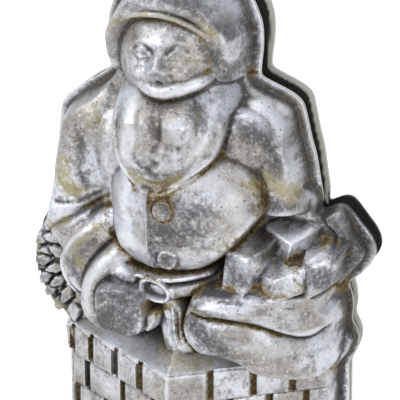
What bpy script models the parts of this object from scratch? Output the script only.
"""Cast-aluminium cake mould in two loose halves: a bearded figure in a fur-trimmed cap, standing in a brick chimney
with a sack of parcels.

Metres, +Z up. The front half faces -Y and the back half +Y. Each half stands on its own flat foot and leans 2.5
degrees away from the other, so their rims touch at the bottom and gape at the top. The origin is on the standing
surface, under the middle of the pair.

Each half is one casting. Its relief is a height over the parting plane, built up from rounded masses, and its
cavity is the same relief moved in by the wall's thickness, so neither side has an undercut and the half can leave
its sand and its cake. The masses are given in millimetres: x to the viewer's right, z up, d out from the parting
plane.
"""

import math

import bmesh
import bpy
import numpy as np

MM = 0.001
CELL = 1.3  # spacing of the relief's grid
HEIGHT = 282.0  # crown of the cap above the standing surface
FLANGE = 4.3  # width of the rim outside the relief
RIM_THICK = 3.0
WALL = 3.2
DRAFT = 6.0  # steepest rise of a side wall, per millimetre
LEAN = math.radians(2.5)
FLAT_FOOT = 60.0  # the lean comes in over this height, so that the foot stays flat on the table
GAP = 0.15  # half the clearance between the closed rims
BELOW = 40.0  # how far the outline runs on under the foot, so that the rim has no bottom edge there
CENTRE = 2.6  # moves the outline's middle to x = 0
FIGURE_X = -14.0
ROW = 17.7  # one course of bricks
JOINTS = (  # x of the upright joints, course by course from the foot
    (-60, -40, -14, 6, 26, 44, 62),
    (-71, -49, -29, 16, 34, 53, 69),
    (-63, -36.5, -13, 7, 25, 43.5, 61),
    (-74.5, -60, -41, -23, 16, 37, 54.5, 67.5),
)
JOINT_WIDTH = {"left": 3.8, "right": 2.6}
CORNER = (-3.2, 66.0)  # the chimney's near corner: x and depth
LEFT_FALL, RIGHT_FALL = 0.70, 0.645  # how fast its two faces run back
KEPT = {"front_half": 0.066, "back_half": 0.060}  # share of the grid's triangles that is kept

# Outer edge of the rim, from the foot on the right over the cap to the foot on the left.
OUTLINE = [
    (80, 0), (80, 30), (79, 57), (79.5, 62), (82.5, 69), (84, 75.5), (83, 81), (80, 87.5), (80.5, 95), (79.5, 102),
    (78, 108), (84, 114), (90, 121.5), (92, 128), (89.5, 135), (83.5, 142.5), (78, 149), (74.5, 151.5), (70.5, 151.5),
    (66, 149.5), (62.5, 148.5), (62.5, 155), (60.5, 166), (58.5, 177), (55.5, 187.5), (53, 198), (51, 204.5),
    (48, 208), (43, 211), (35, 214.5), (29, 217.5), (28, 221.5), (29, 234), (28.5, 244.5), (26, 252.5), (22, 260.5),
    (15, 270), (3, 278.5), (-13, HEIGHT), (-29, 278.5), (-41, 270), (-48, 260.5), (-52, 252.5), (-54.5, 244.5),
    (-55, 234), (-53.5, 222), (-54, 217), (-60.5, 211.5), (-68.5, 207), (-77, 200.5), (-81.5, 195), (-83, 189),
    (-84, 180), (-85, 170), (-86, 159), (-88, 149), (-90, 140), (-92, 131.5), (-95.5, 124), (-97, 114), (-96.5, 103),
    (-94, 92), (-89, 81), (-84.5, 74), (-82, 68), (-81, 60), (-81, 30), (-81, 0),
]


def blend_max(a, b, k):
    """The higher of two surfaces, with a fillet of about k where they meet."""
    return np.maximum(a, b) + np.maximum(k - np.abs(a - b), 0) ** 2 / (4 * k)


def blend_min(a, b, k):
    return -blend_max(-a, -b, k)


def spline(points, steps, closed=False):
    """A smooth curve through points of any dimension."""
    p = np.array(points, float)
    p = np.vstack([p[-1], p, p[0], p[1]]) if closed else np.vstack([2 * p[0] - p[1], p, 2 * p[-1] - p[-2]])
    t = np.linspace(0, 1, steps, endpoint=False)[:, None]
    runs = [
        0.5 * (2 * b + (c - a) * t + (2 * a - 5 * b + 4 * c - d) * t**2 + (3 * b - a - 3 * c + d) * t**3)
        for a, b, c, d in zip(p[:-3], p[1:-2], p[2:-1], p[3:])
    ]
    return np.vstack(runs if closed else runs + [p[-2]])


def inside(x, z, outline):
    """Distance from the outline, positive inside it."""
    nearest = np.full(np.shape(x), 1e9)
    within = np.zeros(np.shape(x), bool)
    for (ax, az), (bx, bz) in zip(np.roll(outline, 1, axis=0), outline):
        ex, ez = bx - ax, bz - az
        t = np.clip(((x - ax) * ex + (z - az) * ez) / max(ex * ex + ez * ez, 1e-12), 0, 1)
        nearest = np.minimum(nearest, (x - ax - t * ex) ** 2 + (z - az - t * ez) ** 2)
        if az != bz:
            within ^= ((az > z) != (bz > z)) & (x < ex * (z - az) / (bz - az) + ax)
    return np.where(within, 1, -1) * np.sqrt(nearest)


def dome(x, z, centre, radii, base, height, turn=0.0, power=2.0):
    """A rounded mass over an oval footprint."""
    c, s = math.cos(math.radians(turn)), math.sin(math.radians(turn))
    u = ((x - centre[0]) * c + (z - centre[1]) * s) / radii[0]
    w = ((z - centre[1]) * c - (x - centre[0]) * s) / radii[1]
    q = (np.abs(u) ** power + np.abs(w) ** power) ** (1 / power)
    top = base + height * np.sqrt(np.clip(1 - q * q, 0, 1))
    return np.where(q < 1, top, base - (q - 1) * min(radii) * DRAFT)


def tube(x, z, points):
    """A round bar through points (x, z, depth of its axis, radius)."""
    out = np.full(np.shape(x), -99.0)
    for (ax, az, ad, ar), (bx, bz, bd, br) in zip(points[:-1], points[1:]):
        ex, ez = bx - ax, bz - az
        t = np.clip(((x - ax) * ex + (z - az) * ez) / (ex * ex + ez * ez), 0, 1)
        away = np.hypot(x - ax - t * ex, z - az - t * ez)
        r, d = ar + t * (br - ar), ad + t * (bd - ad)
        round_top = d + r * np.sqrt(np.clip(1 - (away / r) ** 2, 0, 1))
        out = np.maximum(out, np.where(away < r, round_top, d - (away - r) * DRAFT))
    return out


def pillow(distance, edge, top, radius):
    """A mass over a footprint, rounded up from its edge over a radius."""
    t = np.clip(distance / radius, 0, 1)
    return np.where(distance > 0, edge + (top - edge) * np.sqrt(1 - (1 - t) ** 2), edge + distance * DRAFT)


def parcel(x, z, corner, falls, footprint):
    """The near corner of a box: three flat faces falling away from it at their own rates in x and z."""
    faces = [corner[2] + fx * (x - corner[0]) + fz * (z - corner[1]) for fx, fz in falls]
    solid = blend_min(blend_min(faces[0], faces[1], 0.8), faces[2], 0.8)
    return solid + np.minimum(inside(x, z, np.array(footprint, float)), 0) * DRAFT


def brickwork(x, z):
    """A square chimney set corner-on, in courses with open upright joints, under a sloping cap."""
    left = x < CORNER[0]
    along = np.abs(x - CORNER[0])
    face = CORNER[1] - np.where(left, LEFT_FALL, RIGHT_FALL) * along
    course = np.floor(z / ROW)
    wall = face + np.where(course % 2 == 1, 0.8, 0.0)
    for number, places in enumerate(JOINTS):
        for place in places:
            half_width = JOINT_WIDTH["left" if place < CORNER[0] else "right"] / 2
            cut = np.clip((half_width + 0.6 - np.abs(x - place)) / 1.2, 0, 1)
            wall = wall - np.where(course == number, 3.2 * cut, 0)
    top = len(JOINTS) * ROW
    slope = face + 1.0 - (z - top) * 1.9
    return np.where(z < top, wall, np.minimum(slope, face + 0.6))


def rounded_side(foot, reach, top):
    return RIM_THICK + top * np.sqrt(1 - (1 - np.clip(foot / reach, 0, 1)) ** 2)


def lug_and_wreath(x, z):
    """Low masses that both halves share: the pot's lug on the right and the wreath's bank on the left."""
    lug = [(64, 148), (70, 148), (76, 147), (82, 140), (87, 132), (87, 127), (83, 119), (77, 114), (64, 116)]
    low = pillow(inside(x, z, spline(lug, 5, True)), 10, 17, 4)
    wreath = [(-91, 124), (-92, 112), (-89, 98), (-83, 84), (-72, 80), (-60, 82), (-54, 96), (-56, 116), (-70, 130)]
    return blend_max(low, pillow(inside(x, z, spline(wreath, 5, True)), 13, 22, 8), 2)


def body_front(x, z, foot):
    """Torso, both arms and the coat's front over the belly."""
    d = pillow(foot, 3.0, 15.0, 7.0)
    d = blend_max(d, dome(x, z, (FIGURE_X - 1, 168), (60, 47), 4, 35, power=2.6), 5)
    d = blend_max(d, dome(x, z, (FIGURE_X, 120), (64, 60), 0, 34, power=3.0), 5)
    # The arm on the right ends behind the parcels.
    arm = tube(x, z, [(26, 191, 8, 20), (35, 183, 12, 18.5), (40, 168, 14, 17), (42.5, 154, 14, 16)])
    d = blend_max(d, np.where(z < 152.5, arm - (152.5 - z) * 4, arm), 2)
    arm = [(-56, 189, 10, 22), (-61, 172, 15, 20), (-66, 156, 18, 18.5), (-68, 142, 22, 18), (-60, 131, 28, 16)]
    d = blend_max(d, tube(x, z, arm), 3)
    # Chest on both sides of the beard.
    d = blend_max(d, dome(x, z, (23, 187), (19, 19), 22, 16, turn=-25, power=2.4), 1)
    d = blend_max(d, dome(x, z, (-43, 176), (12, 26), 20, 17, turn=6, power=2.3), 2)
    coat = [
        (-39, 178), (-42, 160), (-39, 142), (-31, 126), (-18, 121.5), (-4, 122), (11, 126), (24, 135), (33, 146),
        (39, 157), (36.5, 170), (28, 180), (10, 190), (-20, 190),
    ]
    belly = dome(x, z, (-1, 153), (47, 35), 20, 40, turn=4, power=2.6)
    return blend_max(d, blend_min(belly, pillow(inside(x, z, spline(coat, 6, True)), 28, 66, 13), 3), 1.2)


def cap_and_head(x, z, foot):
    """The head, the cap with its hanging end and bobble, and the fur band round its front."""
    round_edge = rounded_side(foot, 19, 40)
    d = dome(x, z, (-13, 235), (30, 31), 14, 33, power=2.5)
    crown = blend_min(dome(x, z, (-13, 243), (40, 38), 2, 40, power=2.4), round_edge, 3)
    d = blend_max(d, np.where(z > 246, crown, -9), 1)
    hanging = [(-8, 262, 22, 14), (4, 258, 24, 16), (10, 250, 25, 16), (12, 240, 24, 15), (13, 232, 22, 13)]
    d = blend_max(d, blend_min(tube(x, z, hanging), round_edge, 3), 1.5)
    bobble = dome(x, z, (16.5, 231.5), (10.5, 12), 14, 22, power=2.4)
    d = blend_max(d, blend_min(bobble, round_edge + 2, 2), 1.2)
    band = [
        (-43.5, 227, 22, 6.5), (-44.5, 238, 27, 8), (-41, 249, 33, 8), (-33, 258.5, 37.5, 7.4), (-21, 263.8, 40, 7),
        (-8, 263.8, 40, 7), (4, 260, 38.5, 7), (12, 252, 35, 6.6), (15, 245.5, 31, 5.8),
    ]
    return blend_max(d, tube(x, z, spline(band, 3)), 0.8)


def beard_and_moustache(x, z):
    beard = [
        (-36.5, 225), (-38, 208), (-38, 190), (-34.5, 178.5), (-29, 171.5), (-21.5, 166.5), (-13.5, 165), (-6, 167),
        (2.5, 172), (10.5, 178.5), (16.5, 185), (19.5, 194), (20.5, 205), (19.5, 214), (19.5, 222), (14, 228),
        (10, 221), (-4, 216.5), (-16, 215.5), (-27, 216.5), (-33, 224),
    ]
    hang = dome(x, z, (-12, 192), (37, 46), 20, 41, power=2.3)
    d = blend_min(pillow(inside(x, z, spline(beard, 5, True)), 34, 66, 9), hang, 4)
    lip = [(-29, 221, 36, 2.5), (-21, 219.5, 43, 4.2), (-10, 219, 47, 5), (0, 221, 45, 4.6), (8, 223.5, 39, 4)]
    return blend_max(d, tube(x, z, lip + [(13, 227, 32, 2.8)]), 1)


def cuff_and_mitten(x, z):
    sleeve = [(-44, 141, 33, 10), (-52, 133, 35, 12), (-58, 121, 34, 12.5), (-56, 109, 32, 11), (-50, 101, 30, 8)]
    cuff = [
        (-29, 131, 45, 7), (-36, 126, 46, 8), (-42, 117, 46, 8.5), (-44.5, 106, 46, 8.5), (-43, 96, 45, 8),
        (-37, 90, 44, 7), (-26, 87.5, 44, 5),
    ]
    d = blend_max(tube(x, z, sleeve), tube(x, z, cuff), 1)
    return blend_max(d, dome(x, z, (-33.5, 101.5), (13.5, 13.5), 50, 13, turn=-14, power=3.2), 0.8)


def parcels(x, z):
    """Four wrapped boxes standing in the sack's mouth, each with its near corner forward."""
    mouth = [(20, 116), (23, 136), (34, 147), (50, 149), (66, 146), (73, 132), (74, 114)]
    d = pillow(inside(x, z, spline(mouth, 5, True)), 10, 19, 12)
    for corner, falls, footprint in (
        ((54, 141, 38), [(0, -1.9), (0.55, 0.12), (-0.86, 0.12)],
         [(51.7, 153), (69, 148), (69, 122), (36.8, 122), (36.8, 146)]),
        ((36, 136.3, 57), [(0, -1.9), (0.45, 0.1), (-1.07, 0.1)],
         [(32.6, 145), (45.7, 141.7), (45.7, 116), (23, 116), (23, 139.4)]),
        ((50.6, 127, 58), [(0, -1.9), (0.4, 0.1), (-0.75, 0.1)],
         [(50.7, 135.2), (64.1, 132.2), (64.1, 112), (37.2, 112), (37.2, 129.8)]),
        ((66.2, 128.4, 28), [(0, -1.9), (0.41, 0.1), (-0.92, 0.1)],
         [(66.8, 134.4), (75, 132.6), (75, 112), (58, 112), (58, 130.2)]),
    ):
        d = blend_max(d, parcel(x, z, corner, falls, footprint), 0.6)
    return d


def sack_front(x, z):
    """The sack over the chimney's corner, with one deep fold across it."""
    sack = [
        (4.5, 99), (7, 110), (13, 118.5), (25, 121), (38, 121.5), (52, 122.5), (64, 124), (71, 121.5), (74.5, 114),
        (75, 104), (76.5, 96), (77.5, 87), (75, 79), (66, 73.5), (56, 76), (44, 80), (30, 82), (18, 83), (9.5, 88),
    ]
    across = np.clip((x - 34) / 44, 0, 1)
    crest = 65 - 38 * across**1.5 - 5 * np.clip((18 - x) / 14, 0, 1) ** 2
    above = z - np.interp(x, [5, 19, 32, 39, 54, 65, 76, 84], [107.5, 105.5, 103.5, 102, 99, 98, 98.5, 100])
    upper = 4 * np.sqrt(1 - (1 - np.clip(above / 9, 0, 1)) ** 2)
    lower = 5 * np.sqrt(1 - (1 - np.clip(-above / 11, 0, 1)) ** 2)
    bulge = pillow(inside(x, z, spline(sack, 5, True)), 36 - 26 * across, 72, 11)
    return blend_min(bulge, crest + np.where(above > 0, upper, lower) - 5, 5)


def front_relief(x, z, foot):
    """Depth of the front half's outer surface."""
    d = blend_max(body_front(x, z, foot), cap_and_head(x, z, foot), 1)
    d = blend_max(d, beard_and_moustache(x, z), 0.8)
    d = blend_max(d, cuff_and_mitten(x, z), 1.5)
    # Belt and the coat's skirt below it.
    d = blend_max(d, tube(x, z, [(-30, 116, 43, 3.5), (-12, 113.5, 50, 3.5), (6, 116, 47, 3.5), (20, 124, 41, 3.5)]), 1.5)
    d = blend_max(d, tube(x, z, [(-11, 112, 40, 9), (-7, 96, 43, 9), (-3, 84, 45, 10)]), 3)
    d = blend_max(d, parcels(x, z), 1.5)
    d = blend_max(d, sack_front(x, z), 0.8)
    d = blend_max(d, lug_and_wreath(x, z), 2)
    return blend_max(d, brickwork(x, z), 0.6)


def back_relief(x, z, foot):
    """Depth of the back half's outer surface: the same figure from behind."""
    round_edge = rounded_side(foot, 24, 48)
    d = pillow(foot, 3.0, 15.0, 7.0)
    d = blend_max(d, blend_min(dome(x, z, (FIGURE_X, 165), (64, 54), 4, 48, power=2.6), round_edge, 4), 5)
    d = blend_max(d, blend_min(dome(x, z, (FIGURE_X, 116), (68, 60), 2, 52, power=3.0), round_edge + 4, 4), 5)
    arm = tube(x, z, [(26, 190, 8, 20), (36, 180, 10, 18), (40, 164, 11, 17), (42, 146, 12, 15), (40, 130, 14, 13)])
    d = blend_max(d, arm, 2)
    arm = tube(x, z, [(-56, 189, 8, 21), (-62, 172, 11, 19), (-67, 154, 13, 18), (-68, 138, 14, 17), (-64, 124, 16, 14)])
    d = blend_max(d, arm, 2)
    cap = dome(x, z, (-13, 241), (41, 40), 2, 46, power=2.4)
    d = blend_max(d, blend_min(cap, round_edge, 3), 2)
    band = [(-46, 226, 14, 7), (-38, 221, 26, 7.5), (-26, 218, 34, 7.5), (-13, 217, 37, 7.5), (0, 218, 34, 7.5),
            (12, 221, 26, 7.5), (20, 226, 14, 7)]
    d = blend_max(d, tube(x, z, spline(band, 3)), 1)
    collar = [(-52, 207, 12, 6), (-38, 203, 28, 6.5), (-14, 200, 41, 6.5), (10, 203, 28, 6.5), (26, 207, 12, 6)]
    d = blend_max(d, tube(x, z, spline(collar, 4)), 1)
    belt = [(-62, 122, 26, 4.5), (-42, 118, 42, 4.5), (-14, 116, 52, 4.5), (14, 118, 44, 4.5), (32, 122, 30, 4.5)]
    d = blend_max(d, tube(x, z, spline(belt, 4)), 1)
    hem = [(-64, 94, 24, 7), (-42, 89, 42, 7.5), (-14, 86, 53, 7.5), (14, 88, 46, 7.5), (36, 92, 30, 7)]
    d = blend_max(d, tube(x, z, spline(hem, 4)), 1.5)
    # The sack comes round the figure's side.
    d = blend_max(d, dome(x, z, (54, 102), (22, 27), 12, 30, turn=-8, power=2.4), 2)
    mouth = [(44, 120), (44, 140), (54, 149), (70, 150), (75, 136), (75, 118)]
    d = blend_max(d, pillow(inside(x, z, spline(mouth, 5, True)), 14, 30, 9), 1.5)
    d = blend_max(d, lug_and_wreath(x, z), 2)
    return blend_max(d, brickwork(x, z), 0.6)


def wall_inside(depth):
    """The surface one wall's thickness behind a relief, on the same grid."""
    reach = int(WALL // CELL)
    padded = np.pad(depth, reach, mode="edge")
    inner = np.full(depth.shape, 1e9)
    rows, columns = depth.shape
    for i in range(-reach, reach + 1):
        for j in range(-reach, reach + 1):
            over = math.hypot(i, j) * CELL
            if over < WALL:
                moved = padded[reach + i : reach + i + rows, reach + j : reach + j + columns]
                inner = np.minimum(inner, moved - math.sqrt(WALL**2 - over**2))
    return inner


def leaning(x, z, depth, side):
    """World place of a point of one half, in metres. The half turns forward by its lean, its foot only slides."""
    turned = min(z / FLAT_FOOT, 1)
    turned = turned * turned * (3 - 2 * turned)
    out = depth + z * math.tan(LEAN)
    return (x + CENTRE) * MM, out * side * MM, (z - depth * math.tan(LEAN) * turned) * MM


def cast_half(name, relief, side, material):
    """One casting, standing on its foot; side is -1 for the front and +1 for the back."""
    (right, ground), (left, _) = OUTLINE[0], OUTLINE[-1]
    outline = np.vstack([
        spline(OUTLINE[1:-1], 4), [(left, ground), (left, -BELOW), (right, -BELOW), (right, ground)],
    ])
    columns = np.arange(math.floor(outline[:, 0].min()) - 1, outline[:, 0].max() + 2 * CELL, CELL)
    rows = np.concatenate([[0, 1.5, WALL, WALL + 0.5], np.arange(WALL + 0.5 + CELL, HEIGHT + 2 * CELL, CELL)])
    x, z = np.meshgrid(columns, rows, indexing="ij")
    rim = inside(x, z, outline)
    # Grid points near the outline are moved onto it.
    near = np.abs(rim) < 0.5 * CELL
    slope_x = (inside(x + 0.05, z, outline) - inside(x - 0.05, z, outline)) / 0.1
    slope_z = (inside(x, z + 0.05, outline) - inside(x, z - 0.05, outline)) / 0.1
    length = np.maximum(np.hypot(slope_x, slope_z), 0.5)
    sx = np.where(near, x - rim * slope_x / length, x)
    sz = np.where(near & (z > 0), z - rim * slope_z / length, z)
    foot = np.where(near, 0, rim) - FLANGE
    depth = np.minimum(relief(sx, sz, foot), RIM_THICK + np.maximum(foot, 0) * DRAFT)
    depth = np.where(foot > 0, np.maximum(depth, RIM_THICK), RIM_THICK)
    cavity = np.where((foot > WALL) & (z > WALL + 0.1), np.maximum(wall_inside(depth), 0), 0)

    bm = bmesh.new()
    used = rim > -0.5 * CELL
    cells = used[:-1, :-1] & used[1:, :-1] & used[:-1, 1:] & used[1:, 1:]

    def skin(heights, flip):
        made = {}

        def vertex(i, j):
            if (i, j) not in made:
                made[i, j] = bm.verts.new(leaning(sx[i, j], sz[i, j], heights[i, j], side))
            return made[i, j]

        for i, j in zip(*np.nonzero(cells)):
            ring = [vertex(i, j), vertex(i + 1, j), vertex(i + 1, j + 1), vertex(i, j + 1)]
            bm.faces.new(ring[::-1] if flip else ring)
        return made

    skin(depth, side > 0)
    edge = [e for e in bm.edges if e.is_boundary]
    outer = set(bm.faces)
    skin(cavity, side < 0)
    inner_edge = [e for e in bm.edges if e.is_boundary and not (set(e.link_faces) & outer)]
    bmesh.ops.bridge_loops(bm, edges=edge + inner_edge)
    bmesh.ops.triangulate(bm, faces=bm.faces[:])
    bmesh.ops.recalc_face_normals(bm, faces=bm.faces[:])
    mesh = bpy.data.meshes.new(name)
    bm.to_mesh(mesh)
    bm.free()
    mesh.materials.append(material)
    mesh.shade_smooth()
    mesh.set_sharp_from_angle(angle=math.radians(32))
    half = bpy.data.objects.new(name, mesh)
    # Its origin lies on the bottom edge of its rim, clear of the other half's.
    half.location = (0, GAP * side * MM, 0)
    bpy.context.collection.objects.link(half)
    thin = half.modifiers.new("fewer faces", "DECIMATE")
    thin.ratio = KEPT[name]
    return half


def cast_metal(name, colour, roughness):
    material = bpy.data.materials.new(name)
    material.use_nodes = True
    shader = material.node_tree.nodes["Principled BSDF"]
    shader.inputs["Base Color"].default_value = (*colour, 1)
    shader.inputs["Metallic"].default_value = 0.9
    shader.inputs["Roughness"].default_value = roughness
    return material


def main():
    for thing in list(bpy.data.objects):
        bpy.data.objects.remove(thing)
    bright = cast_metal("cast aluminium, front", (0.62, 0.62, 0.61), 0.38)
    dull = cast_metal("cast aluminium, back", (0.56, 0.56, 0.55), 0.42)
    cast_half("front_half", front_relief, -1, bright)
    cast_half("back_half", back_relief, 1, dull)


main()
